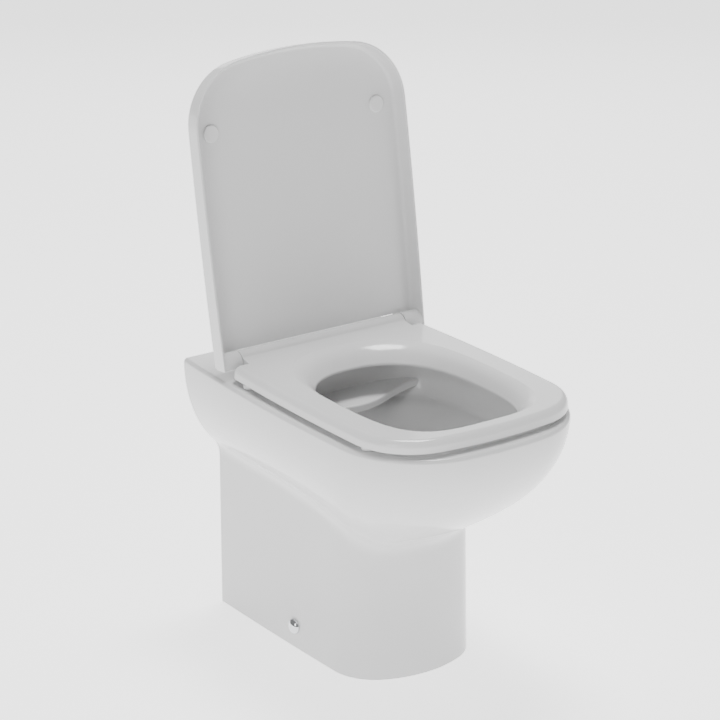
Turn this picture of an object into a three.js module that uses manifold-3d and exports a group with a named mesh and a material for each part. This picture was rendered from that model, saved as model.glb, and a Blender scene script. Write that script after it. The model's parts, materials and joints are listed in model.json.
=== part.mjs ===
// A floor-standing, back-to-wall WC pan with a soft-close seat and a wrap-over lid.
// Millimetres, +Z up. The floor is z = 0, the wall is the plane y = WALL_Y, and the bowl's
// front faces -Y. The seat is down and the lid is open, leaning back on its hinges.
import * as THREE from "three";
import { mergeVertices } from "three/addons/utils/BufferGeometryUtils.js";
import Module from "manifold-3d";

const wasm = await Module();
wasm.setup();

// ---- Driving dimensions -------------------------------------------------------------------

const DEPTH = 540; // wall to the front of the bowl
const WALL_Y = DEPTH / 2;
const RIM_HEIGHT = 400;
const GLAZED_WALL = 12; // thickness of the ceramic
const FIT = 0.3; // gap kept between pieces that touch

// Plan outlines of the ceramic: two long side arcs, a bowed front, and a corner arc between.
const RIM = { half: 182.4, middle: 0, side: 3200, front: -WALL_Y, bow: 560, corner: 130 };
const PEDESTAL = { half: 113.4, middle: 220, side: 7500, front: -94, bow: 161, corner: 72 };
const FOOT_SPREAD = 6; // how far the toe comes forward of the pedestal at the floor
const RIM_ROUND = 6; // radius of the rim's outer top edge
const FLARE_REAR = 144; // height of the bowl's flank at the wall
const FLARE_DROP = 46; // how much deeper the flank is at the front
const FULLNESS = 2.2; // how far the flank swells before it turns in under the rim
const FRONT_LEANER = 0.15; // how much less it swells at the front
const FLANK_END = 0.93; // the share of its height where the flank gives way to a fillet
const FILLET = 0.22; // the fillet's own share, above the pedestal

// The bowl: height, half-width, front y, rear y, and how square its outline is.
const BOWL = [
  { z: 147, half: 24, front: -10, rear: 34, square: 2 },
  { z: 158, half: 38, front: -28, rear: 48, square: 2 },
  { z: 185, half: 50, front: -52, rear: 58, square: 2.1 },
  { z: 215, half: 66, front: -82, rear: 66, square: 2.2 },
  { z: 255, half: 90, front: -143, rear: 80, square: 2.4 },
  { z: 290, half: 116, front: -188, rear: 96, square: 2.8 },
  { z: 326, half: 139, front: -221, rear: 114, square: 3.6 },
  { z: 331, half: 145, front: -228, rear: 124, square: 4 },
  { z: 355, half: 152, front: -237, rear: 134, square: 4.4 },
  { z: 395, half: 154, front: -241, rear: 137, square: 4.6 },
  { z: 398.5, half: 155.5, front: -242.5, rear: 138.5, square: 4.6 },
  { z: 400.5, half: 159, front: -246, rear: 142, square: 4.6 },
];
const BOWL_WALL = 11;
const CAST_JOINT = 326; // the height at which the rim's casting is stuck onto the bowl's
const BROW = { half: 92, rear: -240, bottom: 338 }; // solid ceramic where bowl and front wall meet
const SHELF = { top: 355, thick: 12, nose: 67, tail: 106, reach: 132, back: 144, side: 160 };

const TRAP = { outer: 45, bore: 37, end: 232 }; // radii, and the y where the spigot ends
const OUTLET_HEIGHT = 180;
const INLET = { height: 318, outer: 34, bore: 22, socket: 29.8, from: 92, mouth: 206, step: 184 };

const HINGE = { y: 171, z: 419.7, spacing: 155, barrel: 14.9, pin: 4 };
const OPEN_ANGLE = THREE.MathUtils.degToRad(99.56); // the lid's lean past upright is 9.56
const BARREL_HALF = 141.5; // the seat's hinge barrel reaches this far each side
const BARREL_MEET = 143; // degrees round the barrel at which the seat's top runs into it
const KNUCKLE = { from: 143, to: 172, radius: 15.5 }; // the lid's solid end at each side
const PIN = { from: 58, to: 166 };
const BUSH = { radius: 5.6, to: 169 };
const DAMPER = { radius: 8.2, from: 89, to: 139 };

// The hinge posts, standing on soft pads and bolted through the deck.
const DECK_BORE = 7.5;
const PAD = { radius: 16, bottom: RIM_HEIGHT + FIT, top: RIM_HEIGHT + 1.7 };
const FLANGE = { radius: 17, bottom: PAD.top + FIT, top: RIM_HEIGHT + 4.2 };
const POST = { eye: 10.5, half: 7.5, columnX: 6.5, columnY: 6 };
const POST_SLOT = POST.half + 1; // half-width of the slot a post stands in
const STUD = { radius: 4, bottom: 338, top: RIM_HEIGHT + 3.4 };
const CONE_WASHER = { radius: 15, rim: 4, height: 14 };
const WING_NUT = { radius: 11, height: 18, span: 25, wing: [4, 16] };

const SEAT = { half: 172.2, middle: -40, side: 3300, front: -254.3, bow: 658, corner: 93 };
const SEAT_BOTTOM = 406.5;
const SEAT_TOP = 424.4;
const SEAT_ROUND = 11; // radius of its outer top edge
const SHOULDER = { y: 151, round: 14, neck: 4 }; // where the seat narrows to the hinge barrel
const HOLE_LOW = { half: 111, front: -206, rear: 97.5, squareFront: 3.3, squareRear: 2.45 };
const HOLE_HIGH = { half: 130, front: -228, rear: 132, squareFront: 3.6, squareRear: 2.7 };
const INNER_EDGE = 397.3; // the seat's inner edge hangs down inside the rim
const SEAT_BUFFERS = [
  { name: "front", x: 156, y: -170 },
  { name: "rear", x: 160, y: 112 },
];
const SEAT_BUFFER_RADIUS = 9;
const BUFFER_PEG = { radius: 3.5, length: 7 };

const LID = { half: 178.4, middle: -80, side: 9500, front: -260.1, bow: 627, corner: 92.4 };
const LIP = 403.5; // the closed lid's lower edge
const LIP_THICK = 3.2;
const LID_DEPTH = 32;
const LID_TAPER = 3.5; // how much deeper the lid is at its hinge end
const LID_REAR = HINGE.y + 8.2; // the closed lid's rear end
const LID_FACE = LIP + 24.5; // its inner face when closed
const PLATE_REAR = HINGE.y - 13.9; // the lid's plate stops short of the barrel
const LID_CROWN = [8, 19]; // radii of its top edge all round, and of its rear end
const LID_BUFFER = { x: 141.6, y: HINGE.y - 325.3, radius: 12.5, face: 424.95 };

// A screw through each side of the pedestal, into a bracket screwed to the floor.
const FIXING = { y: 75, z: 34, bore: 6 };
const BRACKET = { thick: 6, width: 50, height: 60, base: 42, screwAt: 26 };
const SCREW = { radius: 3, head: 6, headHeight: 3.4, floorLength: 10, sideLength: 31, sideIn: 26 };
const SLEEVE = { length: 11, sunk: 11.5 };
const CAP = { radius: 11.5, proud: 8.2, wall: 1.4 };

const SEAL = { bore: 20, mouth: 24, length: 28, lip: INLET.socket + 3 };
const CONNECTOR = { wall: 6, fin: 9, length: 52, from: TRAP.end - 18 };

// ---- Materials ----------------------------------------------------------------------------

function material(color, roughness, metalness) {
  return () => new THREE.MeshStandardMaterial({ color, roughness, metalness });
}

const glazedCeramic = material(0xf3f3f1, 0.08, 0);
const seatPlastic = material(0xf1f1f0, 0.16, 0);
const bufferPlastic = material(0xe9e9e7, 0.45, 0);
const chrome = material(0xc9ccd0, 0.12, 1);
const steel = material(0x9b9fa4, 0.35, 1);
const greyPlastic = material(0x6f7276, 0.5, 0);
const whitePlastic = material(0xdedede, 0.5, 0);
const blackRubber = material(0x1c1c1d, 0.8, 0);

// ---- Solids and surfaces ------------------------------------------------------------------

function solid(geometry) {
  const bare = geometry.clone();
  bare.deleteAttribute("normal");
  bare.deleteAttribute("uv");
  const merged = mergeVertices(bare, 0.001);
  const mesh = new wasm.Mesh({
    numProp: 3,
    vertProperties: Float32Array.from(merged.attributes.position.array),
    triVerts: Uint32Array.from(merged.index.array),
  });
  return new wasm.Manifold(mesh);
}

function surface(manifold) {
  const mesh = manifold.getMesh();
  const geometry = new THREE.BufferGeometry();
  geometry.setAttribute("position", new THREE.BufferAttribute(Float32Array.from(mesh.vertProperties), 3));
  geometry.setIndex(new THREE.BufferAttribute(Uint32Array.from(mesh.triVerts), 1));
  geometry.computeVertexNormals();
  return geometry;
}

function join(geometries) {
  return geometries.map(solid).reduce((all, next) => all.add(next));
}

function cut(manifold, geometries) {
  return geometries.map(solid).reduce((left, tool) => left.subtract(tool), manifold);
}

// Rings of points with equal counts, bottom first, each counter-clockwise seen from above.
function loft(rings) {
  const count = rings[0].length;
  const index = [];
  for (let ring = 0; ring + 1 < rings.length; ring++) {
    for (let i = 0; i < count; i++) {
      const a = ring * count + i;
      const b = ring * count + ((i + 1) % count);
      index.push(a, b, b + count, a, b + count, a + count);
    }
  }
  const last = (rings.length - 1) * count;
  const flat = (ring) => ring.map((p) => new THREE.Vector2(p.x, p.y));
  for (const [a, b, c] of THREE.ShapeUtils.triangulateShape(flat(rings[0]), [])) index.push(c, b, a);
  for (const face of THREE.ShapeUtils.triangulateShape(flat(rings.at(-1)), [])) {
    index.push(...face.map((i) => i + last));
  }
  const geometry = new THREE.BufferGeometry().setFromPoints(rings.flat());
  geometry.setIndex(index);
  return geometry;
}

// A Shape drawn in (y, z) becomes a solid between two x positions.
function alongX(shape, from, to, curveSegments = 12) {
  const geometry = new THREE.ExtrudeGeometry(shape, { depth: to - from, bevelEnabled: false, curveSegments });
  geometry.translate(0, 0, from);
  const yzx = new THREE.Matrix4().makeBasis(
    new THREE.Vector3(0, 1, 0),
    new THREE.Vector3(0, 0, 1),
    new THREE.Vector3(1, 0, 0),
  );
  return geometry.applyMatrix4(yzx);
}

function rodX(radius, from, to, y, z, sides = 24) {
  const geometry = new THREE.CylinderGeometry(radius, radius, to - from, sides);
  return geometry.rotateZ(Math.PI / 2).translate((from + to) / 2, y, z);
}

function rodY(radius, from, to, x, z, sides = 28) {
  const geometry = new THREE.CylinderGeometry(radius, radius, to - from, sides);
  return geometry.translate(x, (from + to) / 2, z);
}

function rodZ(radius, from, to, x, y, sides = 24) {
  const geometry = new THREE.CylinderGeometry(radius, radius, to - from, sides);
  return geometry.rotateX(Math.PI / 2).translate(x, y, (from + to) / 2);
}

function block(low, high) {
  const size = high.map((value, i) => value - low[i]);
  const middle = high.map((value, i) => (value + low[i]) / 2);
  return new THREE.BoxGeometry(...size).translate(...middle);
}

// A turned piece about Z: [radius, height] pairs that close on themselves or on the axis.
function turned(pairs, sides = 24) {
  const profile = pairs.map(([radius, height]) => new THREE.Vector2(radius, height));
  if (pairs[0][0] > 0) profile.push(profile[0].clone());
  return new THREE.LatheGeometry(profile, sides).rotateX(Math.PI / 2);
}

// ---- Outlines -----------------------------------------------------------------------------

function arc(centre, radius, from, to, steps) {
  return Array.from({ length: steps + 1 }, (_, i) => {
    const angle = from + ((to - from) * i) / steps;
    return new THREE.Vector2(centre.x + radius * Math.cos(angle), centre.y + radius * Math.sin(angle));
  });
}

// Where the corner arc's centre lies: the corner touches the front bow and the side from inside.
function cornerCentre(bowCentre, bowReach, sideCentre, sideReach) {
  const between = new THREE.Vector2().subVectors(sideCentre, bowCentre);
  const distance = between.length();
  const along = (bowReach ** 2 - sideReach ** 2 + distance ** 2) / (2 * distance);
  const across = Math.sqrt(bowReach ** 2 - along ** 2);
  const unit = between.divideScalar(distance);
  return new THREE.Vector2(
    bowCentre.x + unit.x * along - unit.y * across,
    bowCentre.y + unit.y * along + unit.x * across,
  );
}

// The right half of a plan outline, from the middle of its front to its rear, moved inwards by inset.
function halfPlan(plan, rear, inset, steps) {
  const bowCentre = new THREE.Vector2(0, plan.front + plan.bow);
  const sideCentre = new THREE.Vector2(plan.half - plan.side, plan.middle);
  const centre = cornerCentre(bowCentre, plan.bow - plan.corner, sideCentre, plan.side - plan.corner);
  const bowAngle = Math.atan2(centre.y - bowCentre.y, centre.x - bowCentre.x);
  const sideAngle = Math.atan2(centre.y - sideCentre.y, centre.x - sideCentre.x);
  const rearAngle = Math.asin((rear - plan.middle) / (plan.side - inset));
  return [
    ...arc(bowCentre, plan.bow - inset, -Math.PI / 2, bowAngle, steps.bow).slice(0, -1),
    ...arc(centre, plan.corner - inset, bowAngle, sideAngle, steps.corner),
    ...arc(sideCentre, plan.side - inset, sideAngle, rearAngle, steps.side).slice(1),
  ];
}

function mirrored(half) {
  const left = half.slice(1).reverse().map((p) => new THREE.Vector2(-p.x, p.y));
  return [...half, ...left];
}

function at(points, z) {
  return points.map((p) => new THREE.Vector3(p.x, p.y, z));
}

// A rounded outline about x = 0, as square at its front and its rear as the two powers say.
function hoop({ half, front, rear, squareFront, squareRear }, count) {
  const middle = (front + rear) / 2;
  const reach = (rear - front) / 2;
  return Array.from({ length: count }, (_, i) => {
    const angle = (2 * Math.PI * i) / count;
    const power = 2 / (Math.sin(angle) < 0 ? squareFront : squareRear);
    const across = Math.sign(Math.cos(angle)) * Math.abs(Math.cos(angle)) ** power;
    const along = Math.sign(Math.sin(angle)) * Math.abs(Math.sin(angle)) ** power;
    return new THREE.Vector2(half * across, middle + reach * along);
  });
}

// ---- Pan ----------------------------------------------------------------------------------

const PAN_STEPS = { bow: 4, corner: 8, side: 6 };
const FLANK_LEVELS = [0.06, 0.18, 0.3, 0.42, 0.54, 0.65, 0.74, 0.82, 0.88, 0.93, 0.97, 1.02, 1.08, 1.15];
const HOLLOW_LEVELS = [0.05, 0.18, 0.42, 0.65, 0.82, 0.93, 1.02, 1.15];
const PEDESTAL_TOP = 120; // the foot's spread is gone above this

// How much of the rim's overhang is left at a share of the flank's height; forward is 1 at the front.
function overhang(share, forward) {
  const convex = (s) => (1 - s ** (FULLNESS - FRONT_LEANER * forward)) ** 0.8;
  if (share <= FLANK_END) return convex(share);
  return convex(FLANK_END) * Math.max(0, 1 - (share - FLANK_END) / FILLET) ** 2.5;
}

// One level of the ceramic's outside, at a share of the flank's height below the rim.
function panRing(share, inset, rear, top = RIM_HEIGHT) {
  const rim = mirrored(halfPlan(RIM, rear, inset, PAN_STEPS));
  const column = mirrored(halfPlan(PEDESTAL, rear, inset, PAN_STEPS));
  return rim.map((p, i) => {
    const forward = Math.max(0, (WALL_Y - p.y) / DEPTH) ** 4;
    const flare = FLARE_REAR + FLARE_DROP * forward;
    const point = column[i].clone().lerp(p, overhang(share, forward));
    return new THREE.Vector3(point.x, point.y, Math.min(top, RIM_HEIGHT - share * flare));
  });
}

function pedestalRing(z, inset, rear) {
  const spread = FOOT_SPREAD * (1 - z / (RIM_HEIGHT / 2));
  return at(mirrored(halfPlan({ ...PEDESTAL, front: PEDESTAL.front - spread }, rear, inset, PAN_STEPS)), z);
}

function panOutside() {
  const edge = [0, 30, 60, 90].map((degrees) => {
    const angle = THREE.MathUtils.degToRad(degrees);
    const inset = RIM_ROUND * (1 - Math.cos(angle));
    const z = RIM_HEIGHT - RIM_ROUND * (1 - Math.sin(angle));
    return at(mirrored(halfPlan(RIM, WALL_Y, inset, PAN_STEPS)), z);
  });
  const flank = FLANK_LEVELS.map((share) => panRing(share, 0, WALL_Y)).reverse();
  return loft([pedestalRing(0, 0, WALL_Y), pedestalRing(PEDESTAL_TOP, 0, WALL_Y), ...flank, ...edge]);
}

// The space inside the pedestal and round the bowl, open at the floor and at the wall.
function panHollow() {
  const rear = WALL_Y + 5;
  const top = RIM_HEIGHT - GLAZED_WALL;
  const flank = HOLLOW_LEVELS.map((share) => panRing(share, GLAZED_WALL, rear, top)).reverse();
  return loft([pedestalRing(-2, GLAZED_WALL, rear), ...flank]);
}

// The bowl grown by an offset, up to the last of its levels under top, and upright above it by lift.
function bowlForm(offset, top, lift = 0) {
  const levels = BOWL.filter((level) => level.z <= top);
  const rings = levels.map(({ z, half, front, rear, square }, i) => {
    const grown = { half: half + offset, front: front - offset, rear: rear + offset };
    const outline = hoop({ ...grown, squareFront: square, squareRear: square }, 40);
    return at(outline, i === 0 ? z - offset : z);
  });
  if (lift > 0) rings.push(rings.at(-1).map((point) => point.clone().setZ(point.z + lift)));
  return loft(rings);
}

// The flushing water leaves from under this shelf, whose nose reaches over the back of the bowl.
function distributorShelf() {
  const { top, thick, nose, tail, reach, back, side } = SHELF;
  const steps = 8;
  const shape = new THREE.Shape();
  shape.moveTo(-side, back);
  shape.lineTo(-side, tail);
  for (let i = -steps; i <= steps; i++) {
    const y = (nose + tail) / 2 - ((tail - nose) / 2) * Math.cos((Math.PI * i) / steps);
    shape.lineTo((reach * i) / steps, y);
  }
  shape.lineTo(side, tail);
  shape.lineTo(side, back);
  return new THREE.ExtrudeGeometry(shape, { depth: thick, bevelEnabled: false }).translate(0, 0, top - thick);
}

// The trapway climbs over a weir behind the bowl and drops to the outlet.
function trapTube(radius, end) {
  const route = new THREE.CatmullRomCurve3([
    new THREE.Vector3(0, 12, OUTLET_HEIGHT - 3),
    new THREE.Vector3(0, 60, OUTLET_HEIGHT),
    new THREE.Vector3(0, 112, OUTLET_HEIGHT + 27),
    new THREE.Vector3(0, 162, OUTLET_HEIGHT + 8),
    new THREE.Vector3(0, 194, OUTLET_HEIGHT),
    new THREE.Vector3(0, 211, OUTLET_HEIGHT),
    new THREE.Vector3(0, end, OUTLET_HEIGHT),
  ]);
  const section = new THREE.Shape().absarc(0, 0, radius, 0, 2 * Math.PI);
  return new THREE.ExtrudeGeometry(section, { extrudePath: route, steps: 14, curveSegments: 10 });
}

// Half the pedestal's width at a given distance from the wall.
function pedestalHalf(y) {
  return PEDESTAL.half - (y - PEDESTAL.middle) ** 2 / (2 * PEDESTAL.side);
}

const SIDE_FACE = pedestalHalf(FIXING.y); // the ceramic's side where the screw goes through

// Everything drilled or left open in the ceramic.
function panBores() {
  const bores = [bowlForm(0, RIM_HEIGHT + 1), trapTube(TRAP.bore, TRAP.end + 4)];
  bores.push(rodY(INLET.bore, INLET.from, INLET.mouth + 1, 0, INLET.height));
  bores.push(rodY(INLET.socket, INLET.step, INLET.mouth + 1, 0, INLET.height));
  for (const side of [-1, 1]) {
    bores.push(rodZ(DECK_BORE, RIM_HEIGHT - 30, RIM_HEIGHT + 1, (side * HINGE.spacing) / 2, HINGE.y, 20));
    const wall = side * (SIDE_FACE - GLAZED_WALL / 2);
    bores.push(rodX(FIXING.bore, wall - GLAZED_WALL, wall + GLAZED_WALL, FIXING.y, FIXING.z, 20));
  }
  return bores;
}

// The ceramic is cast in three forms that are stuck together and fired as one:
// the outer shell with the rim, the deck and the flush inlet ...
function pan() {
  const outside = solid(panOutside());
  const shell = cut(outside, [panHollow()]);
  const basin = solid(bowlForm(BOWL_WALL, RIM_HEIGHT)).intersect(outside);
  const brow = block([-BROW.half, -WALL_Y, BROW.bottom], [BROW.half, BROW.rear, RIM_HEIGHT]);
  const horn = rodY(INLET.outer, 110, INLET.mouth, 0, INLET.height);
  const joined = shell.add(basin).add(solid(brow).intersect(outside)).add(solid(horn));
  const below = bowlForm(BOWL_WALL + FIT, CAST_JOINT, FIT);
  const shelf = solid(distributorShelf()).intersect(basin);
  return surface(cut(joined, [below, ...panBores()]).add(shelf));
}

// ... the bowl below the joint ...
function lowerBowl() {
  return surface(cut(solid(bowlForm(BOWL_WALL, CAST_JOINT)), panBores()));
}

// ... and the trapway behind it.
function trapway() {
  const tube = solid(trapTube(TRAP.outer, TRAP.end));
  return surface(cut(tube, [bowlForm(BOWL_WALL + FIT, CAST_JOINT), ...panBores()]));
}

// ---- Seat ---------------------------------------------------------------------------------

const SEAT_STEPS = { bow: 4, corner: 9, side: 5 };

function seatPlan(inset) {
  const { y, round, neck } = SHOULDER;
  const side = halfPlan(SEAT, y - round, inset, SEAT_STEPS);
  const edge = side.at(-1).x + inset;
  const outer = new THREE.Vector2(edge - round, y - round);
  const inner = new THREE.Vector2(BARREL_HALF + neck, y + neck);
  const half = [
    ...side,
    ...arc(outer, round - inset, 0, Math.PI / 2, 4).slice(1),
    ...arc(inner, neck + inset, -Math.PI / 2, -Math.PI, 3),
    new THREE.Vector2(BARREL_HALF - inset, HINGE.y),
  ];
  return mirrored(half);
}

function seatPlate() {
  const sideTop = SEAT_TOP - SEAT_ROUND;
  const rings = [at(seatPlan(1), SEAT_BOTTOM), at(seatPlan(0), SEAT_BOTTOM + 1), at(seatPlan(0.6), sideTop)];
  for (const degrees of [22, 45, 67, 90]) {
    const angle = THREE.MathUtils.degToRad(degrees);
    const inset = 0.6 + SEAT_ROUND * (1 - Math.cos(angle));
    rings.push(at(seatPlan(inset), sideTop + SEAT_ROUND * Math.sin(angle)));
  }
  return loft(rings);
}

// The plate's rear edge sweeps up into the round barrel that hides the hinges.
function seatBarrel() {
  const { y, z, barrel } = HINGE;
  const meet = THREE.MathUtils.degToRad(BARREL_MEET);
  const shape = new THREE.Shape();
  shape.moveTo(y - 43, SEAT_BOTTOM + 6);
  shape.lineTo(y - 43, SEAT_TOP);
  shape.quadraticCurveTo(y - 16.5, SEAT_TOP, y + barrel * Math.cos(meet), z + barrel * Math.sin(meet));
  shape.absarc(y, z, barrel, meet, -Math.PI / 2, true);
  shape.lineTo(y - 19, SEAT_BOTTOM);
  return alongX(shape, -BARREL_HALF, BARREL_HALF, 20);
}

// The hole's outline at a height, given as a share of the way from its low edge to its high one.
function holeRing(z, share, grow = 0) {
  const outline = {};
  for (const key of Object.keys(HOLE_LOW)) {
    outline[key] = THREE.MathUtils.lerp(HOLE_LOW[key], HOLE_HIGH[key], share);
  }
  outline.half += grow;
  outline.front -= grow;
  outline.rear += grow;
  return at(hoop(outline, 44), z);
}

// The opening, with its edge falling steeply from a wide rounded shoulder.
function seatHole() {
  return loft([
    holeRing(INNER_EDGE - 1, 0),
    holeRing(INNER_EDGE + 2, 0),
    holeRing(404, 0.09),
    holeRing(410, 0.24),
    holeRing(415, 0.4),
    holeRing(419, 0.58),
    holeRing(422, 0.77),
    holeRing(SEAT_TOP - 0.8, 0.92),
    holeRing(SEAT_TOP + 0.6, 1.1),
  ]);
}

// The inner edge under the plate, reaching down past the top of the rim.
function seatInnerEdge() {
  return loft([
    holeRing(INNER_EDGE, 0, 3.5),
    holeRing(INNER_EDGE + 2, 0, 5.5),
    holeRing(SEAT_BOTTOM - 2, 0, 9),
    holeRing(SEAT_BOTTOM + 1, 0, 15),
  ]);
}

// The slot for one hinge post: round inside, and open below and behind for the post to swing past.
function postSlot(side) {
  const x = (side * HINGE.spacing) / 2;
  const sector = new THREE.Shape();
  const from = THREE.MathUtils.degToRad(-125);
  const to = THREE.MathUtils.degToRad(42);
  const reach = HINGE.barrel + 9;
  sector.moveTo(HINGE.y, HINGE.z);
  sector.lineTo(HINGE.y + reach * Math.cos(from), HINGE.z + reach * Math.sin(from));
  sector.absarc(HINGE.y, HINGE.z, reach, from, to, false);
  return [
    rodX(POST.eye + 1, x - POST_SLOT, x + POST_SLOT, HINGE.y, HINGE.z),
    alongX(sector, x - POST_SLOT, x + POST_SLOT, 8),
  ];
}

// The two x positions, lower first, of a length measured outwards on one side.
function span(side, from, to) {
  return [side * from, side * to].sort((a, b) => a - b);
}

function seat() {
  const whole = join([seatPlate(), seatBarrel(), seatInnerEdge()]);
  const bores = [seatHole()];
  const end = BARREL_HALF + 1;
  const pegTop = SEAT_BOTTOM + BUFFER_PEG.length + FIT;
  for (const side of [-1, 1]) {
    bores.push(...postSlot(side));
    bores.push(rodX(HINGE.pin + FIT, ...span(side, PIN.from - 2, end), HINGE.y, HINGE.z, 20));
    bores.push(rodX(DAMPER.radius + FIT, ...span(side, DAMPER.from - 5, end), HINGE.y, HINGE.z, 20));
    for (const { x, y } of SEAT_BUFFERS) {
      bores.push(rodZ(BUFFER_PEG.radius + FIT, SEAT_BOTTOM - 1, pegTop, side * x, y, 16));
    }
  }
  return surface(cut(whole, bores));
}

// A soft foot under the seat, held by a peg in the seat's underside.
function seatBuffer() {
  const { radius, length } = BUFFER_PEG;
  const foot = SEAT_BOTTOM - RIM_HEIGHT - 2 * FIT;
  const stem = foot + length;
  return turned([
    [0, 0],
    [SEAT_BUFFER_RADIUS - 1.5, 0],
    [SEAT_BUFFER_RADIUS, 1.2],
    [SEAT_BUFFER_RADIUS, foot],
    [radius, foot],
    [radius, stem],
    [0, stem],
  ], 20);
}

// ---- Lid ----------------------------------------------------------------------------------

const LID_STEPS = { bow: 4, corner: 9, side: 5 };

// One level of the closed lid, rising a little towards the hinges as it gets higher.
function lidRing(inset, depth, rear = LID_REAR) {
  return mirrored(halfPlan(LID, rear, inset, LID_STEPS)).map((p) => {
    const back = (p.y - LID.front) / (LID_REAR - LID.front);
    return new THREE.Vector3(p.x, p.y, LIP + depth * (1 + (back * LID_TAPER) / LID_DEPTH));
  });
}

// The lid before it is hollowed: a shallow crowned tray.
function lidOutside() {
  const round = LID_CROWN[0];
  const rings = [lidRing(0, 0), lidRing(0.2, 8)];
  for (const degrees of [0, 25, 50, 72]) {
    const angle = THREE.MathUtils.degToRad(degrees);
    const inset = 1.4 + round * (1 - Math.cos(angle));
    rings.push(lidRing(inset, LID_DEPTH - 1.8 - round * (1 - Math.sin(angle))));
  }
  rings.push(lidRing(26, LID_DEPTH - 0.7), lidRing(60, LID_DEPTH));
  return loft(rings);
}

// The closed lid's rear end seen from the side: everything behind this line is rounded away.
function lidRearTrim() {
  const round = LID_CROWN[1];
  const top = LIP + LID_DEPTH + LID_TAPER;
  const shape = new THREE.Shape();
  shape.moveTo(LID_REAR + 20, LIP - 5);
  shape.lineTo(LID_REAR + 20, top + 5);
  shape.lineTo(LID_REAR - round, top + 5);
  shape.lineTo(LID_REAR - round, top);
  shape.absarc(LID_REAR - round, top - round, round, Math.PI / 2, 0, true);
  shape.lineTo(LID_REAR, LIP - 5);
  return alongX(shape, -200, 200, 10);
}

function lid() {
  const blank = cut(solid(lidOutside()), [lidRearTrim()]);
  const inside = (inset, z) => at(mirrored(halfPlan(LID, LID_REAR + 6, LIP_THICK + inset, LID_STEPS)), z);
  const inner = [inside(0, LIP - 2), inside(0.6, LIP + 14), inside(2.5, LID_FACE - 3), inside(7, LID_FACE)];
  const { from, to, radius } = KNUCKLE;
  const barrelRoom = block([-from, PLATE_REAR, LIP - 5], [from, LID_REAR + 5, LIP + LID_DEPTH + 9]);
  let hollowed = cut(blank, [loft(inner), barrelRoom]);
  for (const side of [-1, 1]) {
    const knuckle = rodX(radius, ...span(side, from, to), HINGE.y, HINGE.z, 32);
    const bore = rodX(BUSH.radius + FIT, ...span(side, from - 1, BUSH.to), HINGE.y, HINGE.z, 20);
    hollowed = cut(hollowed.add(solid(knuckle).intersect(blank)), [bore]);
  }
  return surface(hollowed);
}

// A low round button inside the lid, for it to rest on the seat.
function lidBuffer() {
  const { radius, face } = LID_BUFFER;
  const height = LID_FACE - FIT - face;
  return turned([
    [0, -height],
    [radius * 0.7, -height + 0.15],
    [radius - 1, -height + 0.7],
    [radius, -height + 1.8],
    [radius, 0],
    [0, 0],
  ], 24);
}

// ---- Hinge hardware -----------------------------------------------------------------------

// A chromed post: a round flange on the deck, a short column, and an eye for the pin.
function hingePost() {
  const { eye, half, columnX, columnY } = POST;
  const flange = rodZ(FLANGE.radius, FLANGE.bottom, FLANGE.top, 0, 0, 28);
  const column = block([-columnX, -columnY, FLANGE.bottom], [columnX, columnY, HINGE.z]);
  const whole = join([flange, column, rodX(eye, -half, half, 0, HINGE.z)]);
  const pinBore = rodX(HINGE.pin + FIT, -half - 1, half + 1, 0, HINGE.z, 20);
  const studBore = rodZ(STUD.radius + FIT, FLANGE.bottom - 1, STUD.top + FIT, 0, 0, 16);
  return surface(cut(whole, [pinBore, studBore]));
}

function ring(outer, inner, bottom, top, sides = 24) {
  return turned([
    [outer, bottom],
    [outer, top],
    [inner, top],
    [inner, bottom],
  ], sides);
}

function coneWasher() {
  const { radius, rim, height } = CONE_WASHER;
  const top = RIM_HEIGHT - GLAZED_WALL - FIT;
  return turned([
    [STUD.radius + FIT, top - height],
    [radius, top - height],
    [radius, top - height + rim],
    [DECK_BORE + 2, top],
    [STUD.radius + FIT, top],
  ], 20);
}

function wingNut() {
  const { radius, height, span: reach, wing } = WING_NUT;
  const top = RIM_HEIGHT - GLAZED_WALL - CONE_WASHER.height - 2 * FIT;
  const body = rodZ(radius, top - height, top, 0, 0, 20);
  const wings = block([-reach, -2, top - wing[1]], [reach, 2, top - wing[0]]);
  const bore = rodZ(STUD.radius + FIT, top - height - 1, top + 1, 0, 0, 16);
  return surface(cut(join([body, wings]), [bore]));
}

// ---- Floor fixings and pipes --------------------------------------------------------------

const BRACKET_FACE = pedestalHalf(FIXING.y - BRACKET.width / 2) - GLAZED_WALL - FIT;

// An L-shaped bracket screwed to the floor just inside the pedestal's side.
function floorBracket() {
  const { thick, width, height, base, screwAt } = BRACKET;
  const face = BRACKET_FACE;
  const upright = block([face - thick, -width / 2, 0], [face, width / 2, height]);
  const foot = block([face - base, -width / 2, 0], [face, width / 2, thick]);
  const screwBore = rodX(SCREW.radius + FIT, face - thick - 1, face + 1, 0, FIXING.z, 16);
  const floorBore = rodZ(SCREW.radius + FIT, -1, thick + 1, face - screwAt, 0, 16);
  return surface(cut(join([upright, foot]), [screwBore, floorBore]));
}

// A pan-head screw along Z: the tip at z = 0 and the head's top at z = length.
function screw(length) {
  const { radius, head, headHeight } = SCREW;
  return turned([
    [0, 0],
    [radius * 0.7, radius / 2],
    [radius, radius],
    [radius, length - headHeight],
    [head, length - headHeight],
    [head, length - headHeight / 3],
    [head * 0.7, length],
    [0, length],
  ], 14);
}

// A push-on cap: a shallow dome that hides the side screw's head, open towards the ceramic.
function sideCap() {
  const { radius, proud, wall } = CAP;
  const dome = (reach, height) =>
    [0, 22, 45, 67, 90].map((degrees) => {
      const angle = THREE.MathUtils.degToRad(degrees);
      return [reach * Math.cos(angle), height * Math.sin(angle)];
    });
  const outer = dome(radius, proud);
  const inner = dome(radius - wall, proud - wall).reverse();
  outer.at(-1)[0] = 0;
  inner[0][0] = 0;
  return turned([...inner, ...outer], 22);
}

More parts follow.
